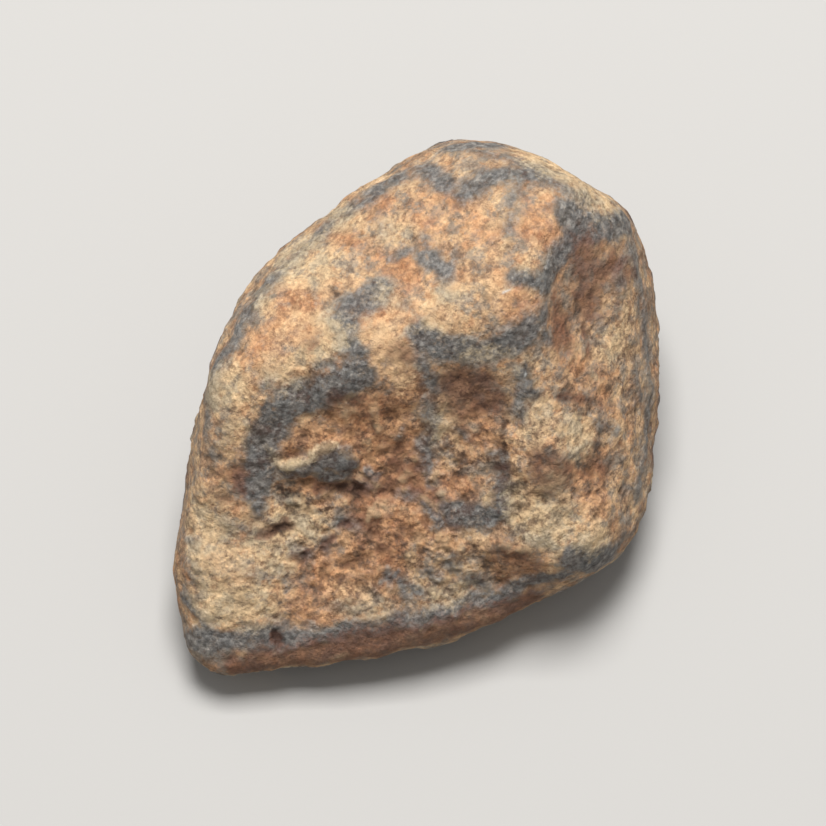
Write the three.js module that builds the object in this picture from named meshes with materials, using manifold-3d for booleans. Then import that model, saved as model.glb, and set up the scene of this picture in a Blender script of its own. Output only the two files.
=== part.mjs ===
// A stony meteorite: one weathered stone with a pointed nose, a blunt end and worn edges.
// Millimetres and degrees, +Z up. It rests on a small flat spot at Z = 0, with its length along X.
import * as THREE from "three";
import { ImprovedNoise } from "three/addons/math/ImprovedNoise.js";
import { mergeVertices } from "three/addons/utils/BufferGeometryUtils.js";
import Module from "manifold-3d";

// Driving dimensions.
const LENGTH = 32.5; // nose to blunt end of the finished stone
const HEART = new THREE.Vector3(0.8, 1.4, 8.8); // the point that faces, hollows and lumps are measured from
const CORE = new THREE.Vector3(-1.5, -0.6, 6.0); // the point that the stone's skin is drawn out from
const BALL_HALF_SIZES = new THREE.Vector3(16, 12, 8); // of the ball whose skin is drawn onto the stone
const BALL_DETAIL = 20; // splits of each edge of that ball's triangles
const RIDGE_WEAR = 1.6; // rounding of the ridges between the upper faces
const CORNER_WEAR = 2.6; // rounding of the corners between the side walls
const SHOULDER_WEAR = 3.6; // rounding where the upper faces turn over into the walls
const TURN_WEAR = 2.4; // rounding where the walls turn under
const BELLY_WEAR = 1.2; // rounding of the edges of the underside
const HOLLOW_WEAR = 1.0; // rounding of a hollow's rim
const LUMP_WEAR = 0.8; // rounding of a lump's foot
const WELD = 1e-4; // points of the ball closer than this are one point
const KERB = 0.08; // points this near the flat spot's level are pressed below it
const HALVINGS = 26; // of a line, to find where it leaves the stone
const NUDGE = 0.05; // step over which a surface's slope is felt

// Each face looks along an azimuth from +X and a tilt from +Z, and stands a reach away from the heart.
const UPPER_FACES = [
  { name: "back slope", azimuth: 108, tilt: 13, reach: 7.6 },
  { name: "left flank", azimuth: 150, tilt: 60, reach: 11.4 },
  { name: "front slope", azimuth: 221, tilt: 45, reach: 5.8 },
  { name: "right slope", azimuth: 283, tilt: 51, reach: 9.5 },
  { name: "front wall", azimuth: 238, tilt: 86, reach: 12.7 },
];
const WALLS = [
  { name: "left", azimuth: 115, tilt: 93, reach: 10.1 },
  { name: "back left", azimuth: 99, tilt: 86, reach: 9.5 },
  { name: "back", azimuth: 82, tilt: 79, reach: 10.4 },
  { name: "back right", azimuth: 69, tilt: 76, reach: 10.5 },
  { name: "blunt end", azimuth: 13, tilt: 76, reach: 13.8 },
  { name: "right end", azimuth: 318, tilt: 93, reach: 14.7 },
  { name: "right", azimuth: 303, tilt: 99, reach: 15.5 },
  { name: "right corner", azimuth: 270, tilt: 109, reach: 16.2 },
  { name: "front foot", azimuth: 240, tilt: 120, reach: 15.8 },
  { name: "nose tip", azimuth: 163, tilt: 108, reach: 22.8 },
];
const BELLY = [
  { name: "belly", azimuth: 0, tilt: 180, reach: 9.1 },
  { name: "belly front", azimuth: 222, tilt: 168, reach: 10.05 },
  { name: "belly left", azimuth: 120, tilt: 160, reach: 9.9 },
  { name: "belly back", azimuth: 60, tilt: 155, reach: 9.9 },
  { name: "belly end", azimuth: 345, tilt: 155, reach: 10.5 },
  { name: "belly right", azimuth: 290, tilt: 165, reach: 9.8 },
];

// Dents and swellings, each run between two directions seen from the heart, as azimuth and tilt.
const HOLLOWS = [
  { name: "great hollow", from: [187, 82], to: [238, 68], across: 10.0, depth: 1.15 },
  { name: "ridge hollow", from: [279, 40], to: [287, 47], across: 4.2, depth: 0.6 },
  { name: "end hollow", from: [337, 57], to: [322, 57], across: 4.0, depth: 0.45 },
  { name: "nose notch", from: [170, 91], to: [181, 93], across: 2.4, depth: 0.35 },
  { name: "front trough", from: [224, 102], to: [252, 104], across: 2.6, depth: 0.35 },
  { name: "back dent", from: [72, 84], to: [58, 90], across: 5.0, depth: 0.4 },
  { name: "left dent", from: [112, 96], to: [122, 88], across: 4.0, depth: 0.3 },
  { name: "end dent", from: [8, 98], to: [352, 92], across: 4.5, depth: 0.4 },
  { name: "under dent", from: [205, 128], to: [225, 140], across: 4.0, depth: 0.35 },
];
const LUMPS = [
  { name: "round knob", from: [274, 76], to: [277, 75], across: 2.4, height: 0.4 },
  { name: "crust ledge", from: [174, 78], to: [184, 70], across: 1.5, height: 0.25 },
];

// The roughness that covers the whole stone, coarse and fine.
const SWELLS = [
  { size: 5.3, height: 0.3 },
  { size: 2.3, height: 0.16 },
];

/** The unit vector at an azimuth from +X and a tilt from +Z. */
function direction(azimuth, tilt) {
  const a = THREE.MathUtils.degToRad(azimuth);
  const t = THREE.MathUtils.degToRad(tilt);
  return new THREE.Vector3(Math.sin(t) * Math.cos(a), Math.sin(t) * Math.sin(a), Math.cos(t));
}

/** The larger of two distances, with the edge where they meet worn round. */
function wornMax(a, b, wear) {
  const share = Math.max(wear - Math.abs(a - b), 0) / wear;
  return Math.max(a, b) + (share * share * wear) / 4;
}

/** A distance function for the solid that a list of faces encloses, with its edges worn. */
function enclosedBy(faces, wear) {
  const planes = faces.map(({ azimuth, tilt, reach }) => {
    const normal = direction(azimuth, tilt);
    return new THREE.Plane(normal, -reach - normal.dot(HEART));
  });
  return (point) => planes.map((plane) => plane.distanceToPoint(point)).reduce((a, b) => wornMax(a, b, wear));
}

const belowUpperFaces = enclosedBy(UPPER_FACES, RIDGE_WEAR);
const withinWalls = enclosedBy(WALLS, CORNER_WEAR);
const aboveBelly = enclosedBy(BELLY, BELLY_WEAR);

/** Distance of a point from the stone's surface before it was dented, negative inside. */
function planedSurface(point) {
  const sides = wornMax(belowUpperFaces(point), withinWalls(point), SHOULDER_WEAR);
  return wornMax(sides, aboveBelly(point), TURN_WEAR);
}

/** The point where a line from a point inside leaves the solid of a distance function. */
function surfacePoint(surface, start, towards) {
  let inside = 0;
  let outside = 2 * LENGTH;
  for (let step = 0; step < HALVINGS; step++) {
    const middle = (inside + outside) / 2;
    if (surface(start.clone().addScaledVector(towards, middle)) < 0) inside = middle;
    else outside = middle;
  }
  return start.clone().addScaledVector(towards, inside);
}

/** The surface point in a direction from the heart, lifted along the surface's normal. */
function liftedPoint(surface, [azimuth, tilt], lift) {
  const point = surfacePoint(surface, HEART, direction(azimuth, tilt));
  const slope = new THREE.Vector3();
  for (const axis of ["x", "y", "z"]) {
    const ahead = point.clone();
    const behind = point.clone();
    ahead[axis] += NUDGE;
    behind[axis] -= NUDGE;
    slope[axis] = surface(ahead) - surface(behind);
  }
  return point.addScaledVector(slope.normalize(), lift);
}

/** Radius of the ball that leaves a dish of a width and a depth. */
function dishRadius(across, depth) {
  return (across * across) / (8 * depth) + depth / 2;
}

/** A distance function for a rounded bar between two directions, lifted off a surface. */
function bar(surface, { from, to }, lift, radius) {
  const line = new THREE.Line3(liftedPoint(surface, from, lift), liftedPoint(surface, to, lift));
  const nearest = new THREE.Vector3();
  return (point) => line.closestPointToPoint(point, true, nearest).distanceTo(point) - radius;
}

const hollowBars = HOLLOWS.map((hollow) => {
  const radius = dishRadius(hollow.across, hollow.depth);
  return bar(planedSurface, hollow, radius - hollow.depth, radius);
});

/** Distance of a point from the surface with its hollows, negative inside. */
function hollowedSurface(point) {
  const dented = (distance, hollow) => wornMax(distance, -hollow(point), HOLLOW_WEAR);
  return hollowBars.reduce(dented, planedSurface(point));
}

const lumpBars = LUMPS.map((lump) => {
  const radius = dishRadius(lump.across, lump.height);
  return bar(hollowedSurface, lump, lump.height - radius, radius);
});

const noise = new ImprovedNoise();

/** Height of the roughness at a point. */
function roughness({ x, y, z }) {
  const heights = SWELLS.map(({ size, height }) => height * noise.noise(x / size, y / size, z / size));
  return heights.reduce((a, b) => a + b);
}

/** Distance of a point from the finished stone's surface, negative inside. */
function stoneSurface(point) {
  const swollen = (distance, lump) => -wornMax(-distance, -lump(point), LUMP_WEAR);
  return lumpBars.reduce(swollen, hollowedSurface(point)) - roughness(point);
}

/** A geometry class's shape as bare points and triangles, with its seams welded. */
function welded(geometry) {
  geometry.deleteAttribute("normal");
  geometry.deleteAttribute("uv");
  return mergeVertices(geometry, WELD);
}

const skin = welded(new THREE.IcosahedronGeometry(1, BALL_DETAIL));
const places = skin.getAttribute("position");
for (let i = 0; i < places.count; i++) {
  const towards = new THREE.Vector3().fromBufferAttribute(places, i).multiply(BALL_HALF_SIZES).normalize();
  const point = surfacePoint(stoneSurface, CORE, towards);
  if (Math.abs(point.z) < KERB) point.z = -KERB;
  places.setXYZ(i, point.x, point.y, point.z);
}

const wasm = await Module();
wasm.setup();

/** A closed geometry as a solid that can be cut. */
function toSolid(geometry) {
  return new wasm.Manifold(new wasm.Mesh({
    numProp: 3,
    vertProperties: new Float32Array(geometry.getAttribute("position").array),
    triVerts: new Uint32Array(geometry.index.array),
  }));
}

/** A solid as a geometry again. */
function toGeometry(solid) {
  const mesh = solid.getMesh();
  const geometry = new THREE.BufferGeometry();
  geometry.setAttribute("position", new THREE.BufferAttribute(new Float32Array(mesh.vertProperties), 3));
  geometry.setIndex(new THREE.BufferAttribute(new Uint32Array(mesh.triVerts), 1));
  return geometry;
}

// The flat spot: all that is below Z = 0 is cut away.
const ground = new THREE.BoxGeometry(4 * LENGTH, 4 * LENGTH, LENGTH).translate(0, 0, -LENGTH / 2);
const geometry = toGeometry(toSolid(skin).subtract(toSolid(welded(ground))));

// The finished stone stands over the origin, at its true length.
geometry.computeBoundingBox();
const middle = geometry.boundingBox.getCenter(new THREE.Vector3());
const scale = LENGTH / geometry.boundingBox.getSize(new THREE.Vector3()).x;
geometry.translate(-middle.x, -middle.y, 0).scale(scale, scale, scale);

const stonyTan = new THREE.MeshStandardMaterial({ color: 0x9a7f66, roughness: 0.9, metalness: 0 });
const stone = new THREE.Mesh(geometry, stonyTan);
stone.name = "stone";

const meteorite = new THREE.Group();
meteorite.add(stone);
export default meteorite;
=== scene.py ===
"""A weathered stony meteorite: its skin, its relief, its stains and the shade and highlights painted into its
skin, lying on a pale floor in soft light.
"""
import logging
import math
from dataclasses import dataclass
from enum import Enum
from typing import Any

import bpy
import numpy as np
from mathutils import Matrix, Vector, noise
from mathutils.bvhtree import BVHTree


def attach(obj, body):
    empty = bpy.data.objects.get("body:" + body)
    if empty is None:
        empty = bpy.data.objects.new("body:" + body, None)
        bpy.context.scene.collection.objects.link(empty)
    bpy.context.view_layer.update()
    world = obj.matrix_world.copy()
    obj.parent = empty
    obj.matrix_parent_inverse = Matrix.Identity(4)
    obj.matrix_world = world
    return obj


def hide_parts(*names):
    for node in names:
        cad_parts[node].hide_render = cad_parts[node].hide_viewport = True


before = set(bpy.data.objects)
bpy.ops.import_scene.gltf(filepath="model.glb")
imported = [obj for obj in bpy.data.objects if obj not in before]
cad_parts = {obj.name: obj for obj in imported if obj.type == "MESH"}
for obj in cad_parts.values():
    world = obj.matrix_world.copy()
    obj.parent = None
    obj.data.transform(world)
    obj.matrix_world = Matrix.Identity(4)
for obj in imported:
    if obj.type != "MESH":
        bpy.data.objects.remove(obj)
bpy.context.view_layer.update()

MM = 0.001  # the scene is in metres, and every size in this file is in millimetres
LOG = logging.getLogger("meteorite")
TINY = 1e-9  # keeps a stroke of no length from dividing by zero
FINENESS = 2.0  # how much finer each layer of a cloudy noise is than the one before

Point = tuple[float, float]
Levels = tuple[float, float]
Place = tuple[float, float, float]
Colour = tuple[float, float, float, float]


def paint(red: int, green: int, blue: int) -> Colour:
    """Turns a paint shade into the linear colour that a shader takes.

    Args:
        red: Red, 0 to 255.
        green: Green, 0 to 255.
        blue: Blue, 0 to 255.

    Returns:
        The linear red, green, blue and an alpha of one.
    """
    parts = [value / 255 for value in (red, green, blue)]
    linear = [part / 12.92 if part <= 0.04045 else ((part + 0.055) / 1.055) ** 2.4 for part in parts]
    return (*linear, 1.0)


def ease(low: float, high: float, values: np.ndarray) -> np.ndarray:
    """Rises smoothly from 0 at one value to 1 at another.

    Args:
        low: The value that gives 0.
        high: The value that gives 1.
        values: The values to ease.

    Returns:
        The eased values, 0 to 1.
    """
    share = np.clip((values - low) / (high - low), 0.0, 1.0)
    return share * share * (3.0 - 2.0 * share)


def clouds(
    places: np.ndarray, size: float, fall: float, layers: int, shift: Place = (0.0, 0.0, 0.0)
) -> np.ndarray:
    """Samples a cloudy noise at points.

    Args:
        places: The points, in millimetres.
        size: Size of the noise's coarsest layer, in millimetres.
        fall: How fast its layers grow weaker.
        layers: How many layers it has.
        shift: How far through the noise the points are moved.

    Returns:
        The noise at each point.
    """
    start = Vector(shift)
    return np.array([noise.fractal(Vector(p) / size + start, fall, FINENESS, layers) for p in places])


class Stain(Enum):
    """What a mark leaves on the stone. The value names the attribute that carries it. The umber mark is
    partly the stone's own dark red-brown and partly painted shade in hollows, cracks and under ledges. The
    pale mark is partly pale dust and partly a painted highlight on lit rims.
    """

    CRUST = "crust"
    RUST = "rust"
    # dark red-brown: partly the stone's own colour, partly painted shade in hollows, cracks and under ledges
    UMBER_AND_SHADE = "umber_and_shade"
    PALE = "pale"
    BROKEN = "broken"
    METAL = "metal"


@dataclass(frozen=True)
class Layer:
    """How a stain lies on the skin.

    Attributes:
        softness: Softness of its edge.
        fraying: Raggedness of its edge.
        cover: How much of the skin it hides at most.
    """

    softness: float
    fraying: float
    cover: float


LAYERS: dict[Stain, Layer] = {
    Stain.RUST: Layer(0.42, 1.3, 0.62),
    Stain.CRUST: Layer(0.26, 0.72, 0.92),
    Stain.PALE: Layer(0.42, 1.3, 0.45),
    Stain.UMBER_AND_SHADE: Layer(0.42, 1.3, 0.8),
}
THICK_PALE_COVER = 0.9  # what the pale mark covers where it is strongest, as on the painted highlight along the ledge's lit rim


@dataclass(frozen=True)
class Chance:
    """How a stain spreads by chance over the sides that no mark reaches.

    Attributes:
        size: Size of its patches, in millimetres.
        level: Level of the noise around which it sets in.
    """

    size: float
    level: float


WILD_STAINS: dict[Stain, Chance] = {
    Stain.CRUST: Chance(2.6, 0.02),
    Stain.RUST: Chance(3.2, 0.02),
    Stain.UMBER_AND_SHADE: Chance(2.4, 0.12),
    Stain.PALE: Chance(3.0, 0.1),
    Stain.BROKEN: Chance(7.0, 0.0),
}
WILD_START = -0.2  # from a wild stain's level to where it begins
WILD_END = 0.3  # from a wild stain's level to where it is full
WILD_SHIFT = (11.0, 5.0, 3.0)  # through the noise, from one wild stain to the next


@dataclass(frozen=True)
class Mark:
    """One stroke of a stain, drawn as it is seen from the viewpoint.

    Attributes:
        stain: What the stroke leaves.
        width: Width of the stroke, in millimetres.
        strength: 1 for a full stain, less for a broken one.
        path: Points in millimetres, right of and above the middle of the view.
        lift: How far the stroke stands out of the stone, or lies in it if negative, in millimetres.
    """

    stain: Stain
    width: float
    strength: float
    path: tuple[Point, ...]
    lift: float = 0.0


MARKS: tuple[Mark, ...] = (
    Mark(Stain.CRUST, 1.5, 1.0, ((-4.0, 4.8), (-3.2, 5.7), (-2.4, 6.1), (-1.7, 6.5))),
    Mark(Stain.CRUST, 1.2, 0.95, ((-3.4, 5.0), (-3.7, 3.6), (-3.1, 3.3))),
    Mark(Stain.CRUST, 0.6, 0.9, ((-5.2, 2.6), (-4.2, 2.7))),
    Mark(Stain.CRUST, 1.6, 1.0, ((-6.8, 0.8), (-5.0, 1.1), (-3.6, 1.7), (-2.7, 1.9))),
    Mark(Stain.CRUST, 0.8, 0.8, ((-7.9, 1.5), (-7.3, 2.0))),
    Mark(Stain.CRUST, 0.45, 0.9, ((-1.3, 8.2), (-0.2, 8.6))),
    Mark(Stain.CRUST, 0.45, 0.9, ((-2.4, 7.7), (-2.0, 7.4))),
    Mark(Stain.CRUST, 0.35, 0.9, ((-5.1, 6.4), (-5.0, 5.9))),
    Mark(Stain.CRUST, 0.3, 0.8, ((-6.9, 5.8), (-6.6, 5.6))),
    Mark(Stain.CRUST, 1.0, 0.62, ((-8.8, 4.8), (-9.8, 3.2), (-10.5, 1.5))),
    Mark(Stain.CRUST, 1.2, 0.58, ((-10.8, 0.7), (-11.1, -1.0), (-10.7, -2.2))),
    Mark(Stain.CRUST, 0.9, 0.62, ((-2.1, 10.1), (-1.3, 9.6))),
    Mark(Stain.CRUST, 0.8, 0.62, ((-3.3, 11.2), (-2.6, 11.5))),
    Mark(Stain.CRUST, 0.7, 0.62, ((-5.1, 9.6), (-4.6, 9.1))),
    Mark(Stain.CRUST, 0.8, 0.6, ((-6.5, 7.7), (-7.3, 6.6))),
    Mark(Stain.CRUST, 1.3, 1.0, ((2.3, 14.0), (3.3, 14.3), (4.2, 14.2))),
    Mark(Stain.CRUST, 1.4, 0.85, ((0.6, 13.0), (1.2, 12.6), (1.7, 12.0))),
    Mark(Stain.CRUST, 1.7, 0.85, ((3.0, 11.8), (4.1, 12.5), (5.4, 12.6), (6.5, 13.0))),
    Mark(Stain.CRUST, 1.0, 0.72, ((5.5, 11.9), (5.3, 10.7), (4.9, 9.4))),
    Mark(Stain.CRUST, 1.3, 1.0, ((0.7, 8.4), (1.1, 8.0), (1.6, 7.7))),
    Mark(Stain.CRUST, 0.7, 0.7, ((0.6, 9.4), (1.0, 8.9))),
    Mark(Stain.CRUST, 0.8, 0.8, ((1.4, 6.5), (1.7, 5.9))),
    Mark(Stain.CRUST, 0.8, 0.7, ((-0.4, 6.0), (0.1, 5.0), (0.3, 4.4))),
    Mark(Stain.CRUST, 1.5, 0.7, ((6.2, 12.9), (7.6, 12.0), (8.9, 11.5))),
    Mark(Stain.CRUST, 1.8, 1.0, ((8.3, 10.5), (9.0, 9.7), (10.0, 9.8), (11.1, 10.0))),
    Mark(Stain.CRUST, 1.2, 1.0, ((8.5, 9.3), (7.8, 8.5), (7.2, 7.6), (6.8, 6.8))),
    Mark(Stain.CRUST, 1.1, 0.95, ((5.4, 7.2), (6.2, 7.0), (6.9, 6.6))),
    Mark(Stain.CRUST, 0.9, 0.95, ((6.9, 5.8), (6.6, 4.9), (7.0, 4.0))),
    Mark(Stain.CRUST, 1.7, 1.0, ((0.5, 4.2), (1.4, 3.6), (2.4, 3.5), (3.6, 3.2), (4.9, 3.6), (6.0, 4.5))),
    Mark(Stain.CRUST, 1.3, 0.9, ((0.4, 2.5), (1.0, 1.5))),
    Mark(Stain.CRUST, 0.9, 1.0, ((5.8, 2.2), (6.1, 1.1))),
    Mark(Stain.CRUST, 0.9, 0.95, ((5.7, 1.1), (5.5, -0.1))),
    Mark(Stain.CRUST, 1.0, 0.72, ((11.1, 8.0), (10.9, 6.8), (10.8, 5.4))),
    Mark(Stain.CRUST, 0.8, 0.8, ((11.7, 2.7), (12.0, 1.1))),
    Mark(Stain.CRUST, 0.6, 0.7, ((9.8, 4.9), (10.1, 4.3))),
    Mark(Stain.CRUST, 1.9, 1.0, ((-5.0, 0.9), (-6.7, 0.3), (-7.7, -0.9), (-8.3, -2.6), (-8.3, -3.9))),
    Mark(Stain.CRUST, 1.1, 0.9, ((-8.3, -4.0), (-8.0, -5.2))),
    Mark(Stain.CRUST, 1.1, 1.0, ((-6.5, -3.1), (-5.4, -2.6), (-4.3, -2.3), (-3.4, -2.6))),
    Mark(Stain.CRUST, 0.9, 0.95, ((-3.6, -2.7), (-4.2, -3.4))),
    Mark(Stain.CRUST, 0.7, 0.9, ((-2.3, -3.2), (-2.0, -3.7))),
    Mark(Stain.CRUST, 0.6, 0.8, ((-3.1, -4.1), (-2.2, -4.2))),
    Mark(Stain.CRUST, 0.5, 0.9, ((-6.7, -4.7), (-6.3, -4.8))),
    Mark(Stain.CRUST, 1.0, 0.68, ((-9.9, -5.7), (-8.9, -6.1), (-8.0, -6.5))),
    Mark(Stain.CRUST, 0.7, 0.9, ((-11.9, -6.7), (-11.4, -7.0))),
    Mark(Stain.CRUST, 1.0, 0.95, ((-12.0, -9.8), (-11.3, -10.6))),
    Mark(Stain.CRUST, 0.6, 0.9, ((-11.1, -11.1), (-10.7, -11.5))),
    Mark(Stain.CRUST, 0.5, 0.8, ((-11.7, -8.0), (-11.4, -8.3))),
    Mark(Stain.CRUST, 1.4, 0.9, ((-11.9, -11.8), (-10.7, -12.5), (-9.2, -12.1), (-7.4, -11.5))),
    Mark(Stain.CRUST, 1.0, 0.85, ((-5.5, -11.6), (-3.6, -11.4), (-1.5, -11.0), (0.2, -10.9))),
    Mark(Stain.CRUST, 0.7, 0.9, ((-6.2, -7.4), (-5.8, -7.6))),
    Mark(Stain.CRUST, 0.8, 0.85, ((-4.8, -6.5), (-4.6, -7.4))),
    Mark(Stain.CRUST, 0.8, 0.85, ((-3.8, -5.6), (-3.0, -6.1))),
    Mark(Stain.CRUST, 0.8, 0.85, ((-1.5, -8.4), (-0.9, -9.0))),
    Mark(Stain.CRUST, 0.9, 0.9, ((-0.5, -8.9), (0.3, -9.5))),
    Mark(Stain.CRUST, 0.9, 0.7, ((-4.0, -10.1), (-3.0, -10.5))),
    Mark(Stain.CRUST, 0.6, 0.85, ((-6.8, -8.9), (-6.5, -9.4))),
    Mark(Stain.CRUST, 0.8, 0.65, ((-7.5, -7.8), (-6.6, -8.3))),
    Mark(Stain.CRUST, 1.0, 0.6, ((-8.9, -8.2), (-8.0, -8.7))),
    Mark(Stain.CRUST, 1.0, 0.9, ((0.6, 0.5), (1.2, -0.4), (0.7, -1.9), (0.9, -2.8))),
    Mark(Stain.CRUST, 0.6, 0.8, ((0.9, -2.8), (1.1, -3.9))),
    Mark(Stain.CRUST, 1.6, 1.0, ((1.9, -5.2), (3.6, -5.6))),
    Mark(Stain.CRUST, 1.5, 1.0, ((3.8, -5.7), (4.7, -5.2), (4.8, -4.3))),
    Mark(Stain.CRUST, 0.6, 0.95, ((4.7, -3.8), (4.6, -2.6))),
    Mark(Stain.CRUST, 0.7, 0.95, ((4.1, -2.1), (4.6, -2.4))),
    Mark(Stain.CRUST, 2.0, 1.0, ((8.4, -7.6), (9.4, -7.8), (10.2, -7.7))),
    Mark(Stain.CRUST, 0.8, 0.9, ((6.4, -6.4), (7.6, -6.7))),
    Mark(Stain.CRUST, 0.5, 0.8, ((11.1, -5.4), (11.1, -6.5))),
    Mark(Stain.CRUST, 0.8, 0.75, ((9.7, -0.4), (11.0, -1.2))),
    Mark(Stain.CRUST, 0.7, 0.8, ((8.2, -2.1), (9.8, -1.7))),
    Mark(Stain.CRUST, 0.8, 0.65, ((11.3, -3.8), (11.7, -4.4))),
    Mark(Stain.CRUST, 0.7, 0.75, ((12.7, 0.9), (12.6, -0.9))),
    Mark(Stain.CRUST, 1.0, 0.7, ((1.4, -7.4), (2.3, -7.9))),
    Mark(Stain.CRUST, 0.9, 0.75, ((0.6, -8.3), (1.3, -8.6))),
    Mark(Stain.CRUST, 1.0, 0.8, ((2.7, -8.6), (3.6, -9.0), (4.2, -9.5))),
    Mark(Stain.CRUST, 0.7, 0.8, ((0.9, -10.7), (3.0, -10.1), (5.2, -9.8))),
    Mark(Stain.CRUST, 0.6, 0.75, ((6.2, -9.5), (7.2, -9.3))),
    Mark(Stain.CRUST, 0.9, 0.62, ((-6.0, -5.7), (-5.5, -6.5))),
    Mark(Stain.CRUST, 0.6, 0.7, ((-2.2, -9.1), (-1.7, -9.8))),
    Mark(Stain.CRUST, 0.7, 0.7, ((2.2, -0.6), (3.0, -1.2))),
    Mark(Stain.CRUST, 0.5, 0.8, ((-0.3, -0.6), (-0.8, -1.4))),
    Mark(Stain.RUST, 3.0, 0.8, ((-6.1, 5.7), (-6.4, 4.8))),
    Mark(Stain.RUST, 1.6, 0.8, ((-1.3, 8.0), (-0.8, 7.5))),
    Mark(Stain.RUST, 3.0, 0.85, ((-1.9, 5.4), (-1.0, 4.6))),
    Mark(Stain.RUST, 2.0, 0.7, ((-8.0, 3.6), (-7.3, 3.0))),
    Mark(Stain.RUST, 1.4, 0.7, ((-3.8, 9.5), (-3.3, 8.9))),
    Mark(Stain.RUST, 1.6, 0.7, ((-2.2, 11.3), (-1.5, 11.0))),
    Mark(Stain.RUST, 2.6, 0.75, ((6.5, 10.0), (7.2, 9.4))),
    Mark(Stain.RUST, 1.3, 0.9, ((0.8, 4.8), (1.7, 4.8))),
    Mark(Stain.RUST, 1.9, 0.8, ((4.7, 6.6), (5.9, 5.4))),
    Mark(Stain.RUST, 1.6, 0.85, ((-0.5, 7.7), (-0.2, 6.9))),
    Mark(Stain.RUST, 2.2, 0.9, ((-0.5, 2.5), (0.1, 1.7), (-0.6, 0.7))),
    Mark(Stain.RUST, 1.0, 0.8, ((7.6, 7.0), (7.3, 5.8))),
    Mark(Stain.RUST, 1.9, 0.85, ((-6.8, -1.7), (-5.5, -1.4), (-4.3, -1.7))),
    Mark(Stain.RUST, 1.2, 1.0, ((-5.8, -3.4), (-5.4, -3.7))),
    Mark(Stain.RUST, 2.0, 0.85, ((-3.6, -0.4), (-3.2, -1.4))),
    Mark(Stain.RUST, 4.6, 0.85, ((-1.9, -0.9), (-0.9, -3.0), (-0.7, -4.9))),
    Mark(Stain.RUST, 3.4, 0.75, ((-4.4, -8.4), (-3.8, -9.1))),
    Mark(Stain.RUST, 2.6, 0.7, ((-5.5, -9.9), (-4.8, -10.4))),
    Mark(Stain.RUST, 3.4, 0.75, ((-2.2, -6.7), (-1.6, -8.1))),
    Mark(Stain.RUST, 2.0, 0.8, ((0.6, -4.9), (1.2, -6.2))),
    Mark(Stain.RUST, 1.6, 0.8, ((2.3, -3.6), (2.7, -4.1))),
    Mark(Stain.RUST, 2.8, 0.65, ((5.1, -8.2), (6.3, -8.9))),
    Mark(Stain.RUST, 2.0, 0.7, ((3.0, -0.4), (3.7, -1.1))),
    Mark(Stain.RUST, 1.6, 0.7, ((8.0, 4.1), (8.7, 2.5))),
    Mark(Stain.RUST, 1.6, 0.6, ((9.9, 1.7), (10.2, 0.7))),
    Mark(Stain.RUST, 2.6, 0.6, ((9.2, -3.6), (9.9, -4.6))),
    Mark(Stain.RUST, 1.3, 0.75, ((0.3, 10.4), (1.1, 9.9))),
    Mark(Stain.RUST, 1.6, 0.6, ((3.0, 10.0), (3.9, 9.6))),
    Mark(Stain.RUST, 1.8, 0.6, ((1.4, 11.5), (2.3, 11.1))),
    Mark(Stain.RUST, 1.4, 0.6, ((2.5, 7.3), (3.4, 6.8))),
    Mark(Stain.RUST, 1.4, 0.65, ((-9.2, -2.2), (-9.0, -4.0))),
    Mark(Stain.RUST, 1.6, 0.6, ((-10.1, -7.8), (-9.4, -8.4))),
    Mark(Stain.RUST, 1.8, 0.6, ((-8.1, -12.0), (-6.0, -12.3))),
    Mark(Stain.UMBER_AND_SHADE, 2.4, 0.85, ((9.0, 8.6), (9.5, 7.4), (9.2, 6.0))),
    Mark(Stain.UMBER_AND_SHADE, 1.6, 0.85, ((7.6, 5.5), (8.1, 3.8))),
    Mark(Stain.UMBER_AND_SHADE, 2.4, 0.9, ((2.8, 1.5), (3.8, 1.1))),
    Mark(Stain.UMBER_AND_SHADE, 1.2, 0.8, ((2.1, 0.9), (2.6, 0.1))),
    Mark(Stain.UMBER_AND_SHADE, 1.2, 0.95, ((6.5, -3.2), (7.3, -3.8), (8.0, -3.2))),
    Mark(Stain.UMBER_AND_SHADE, 1.4, 0.7, ((6.6, -2.4), (7.4, -2.8))),
    Mark(Stain.UMBER_AND_SHADE, 1.2, 0.7, ((9.4, -2.6), (10.0, -3.0))),
    Mark(Stain.UMBER_AND_SHADE, 0.8, 0.9, ((-9.3, -3.0), (-9.0, -4.2))),
    Mark(Stain.UMBER_AND_SHADE, 0.5, 0.8, ((-10.3, -4.3), (-10.1, -4.6))),
    Mark(Stain.UMBER_AND_SHADE, 0.6, 0.8, ((-5.8, 3.6), (-5.4, 3.9))),
    Mark(Stain.UMBER_AND_SHADE, 1.6, 0.75, ((-7.7, -13.0), (-4.4, -12.4), (-0.7, -11.6))),
    Mark(Stain.UMBER_AND_SHADE, 1.6, 0.8, ((-0.8, -2.4), (-0.1, -3.0), (0.2, -3.9))),
    Mark(Stain.UMBER_AND_SHADE, 1.2, 0.75, ((-3.6, 0.7), (-2.7, 0.5))),
    Mark(Stain.UMBER_AND_SHADE, 1.0, 0.75, ((4.9, -7.2), (6.2, -7.6))),
    Mark(Stain.UMBER_AND_SHADE, 1.4, 0.7, ((10.4, 8.0), (11.5, 7.5))),
    Mark(Stain.UMBER_AND_SHADE, 1.2, 0.7, ((-3.0, -4.4), (-1.5, -3.9))),
    Mark(Stain.UMBER_AND_SHADE, 1.0, 0.7, ((0.8, -4.2), (1.4, -4.7))),
    Mark(Stain.UMBER_AND_SHADE, 1.0, 0.65, ((-2.8, -5.7), (-2.2, -6.2))),
    Mark(Stain.UMBER_AND_SHADE, 0.9, 0.7, ((-0.9, 3.2), (-0.2, 3.0))),
    Mark(Stain.PALE, 1.8, 0.8, ((-4.7, 4.8), (-4.2, 4.1))),
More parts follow.
